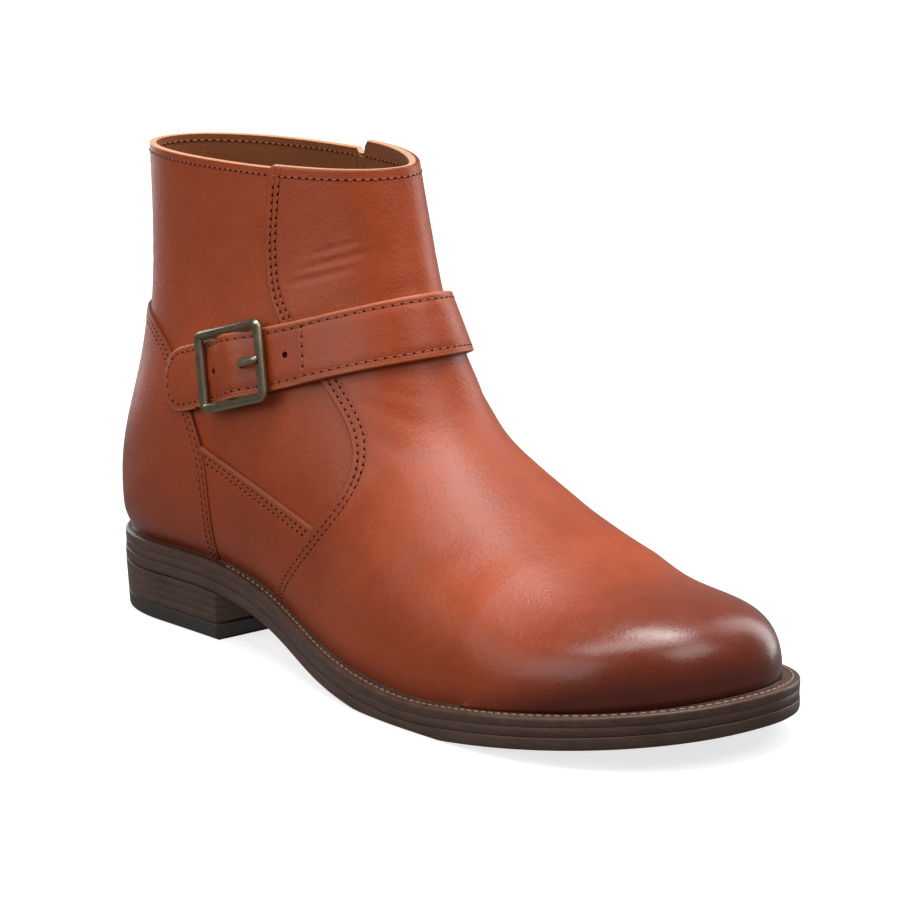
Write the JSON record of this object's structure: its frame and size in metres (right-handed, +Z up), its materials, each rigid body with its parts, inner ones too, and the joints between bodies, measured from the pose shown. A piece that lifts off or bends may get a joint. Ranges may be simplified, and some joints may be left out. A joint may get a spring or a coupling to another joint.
{
  "type": "engineer boot",
  "caption": "Low right engineer boot in tan leather with a lapped front panel, heel counter, buckled ankle strap, short medial zip, welted sole and stacked heel.",
  "frame": {"origin": "on the floor, at the middle of the sole's length and width", "axes": "+X towards the toe, -Y lateral, +Y medial, +Z up"},
  "size_m": [0.3051, 0.1128, 0.1735],
  "materials": {
    "tan_leather": "burnished semi-gloss",
    "sole_edge": "dark waxed edge",
    "heel_rubber": "matt",
    "insole_leather": "matt",
    "aged_brass": "antique satin",
    "zip_tape": "woven"
  },
  "bodies": {
    "boot": {"heel_lift": "heel_rubber", "heel_stack": "sole_edge", "outsole": "sole_edge", "midsole": "sole_edge", "welt": "sole_edge", "insole": "insole_leather", "upper": "tan_leather", "vamp_panel": "tan_leather", "counter_panel": "tan_leather", "side_panel_lateral": "tan_leather", "side_panel_medial": "tan_leather", "ankle_strap": "tan_leather", "strap_tip": "tan_leather", "buckle_frame": "aged_brass", "buckle_prong": "aged_brass", "zip_tape": "zip_tape", "zip_slider": "aged_brass"},
    "zip_pull": {"zip_pull": "aged_brass"}
  },
  "joints": [
    {"name": "zip_pull_hinge", "type": "hinge", "parent": "boot", "child": "zip_pull", "pos_m": [-0.0667, 0.03896, 0.162], "axis": [1, 0, 0], "range_deg": [0, 150]}
  ]
}
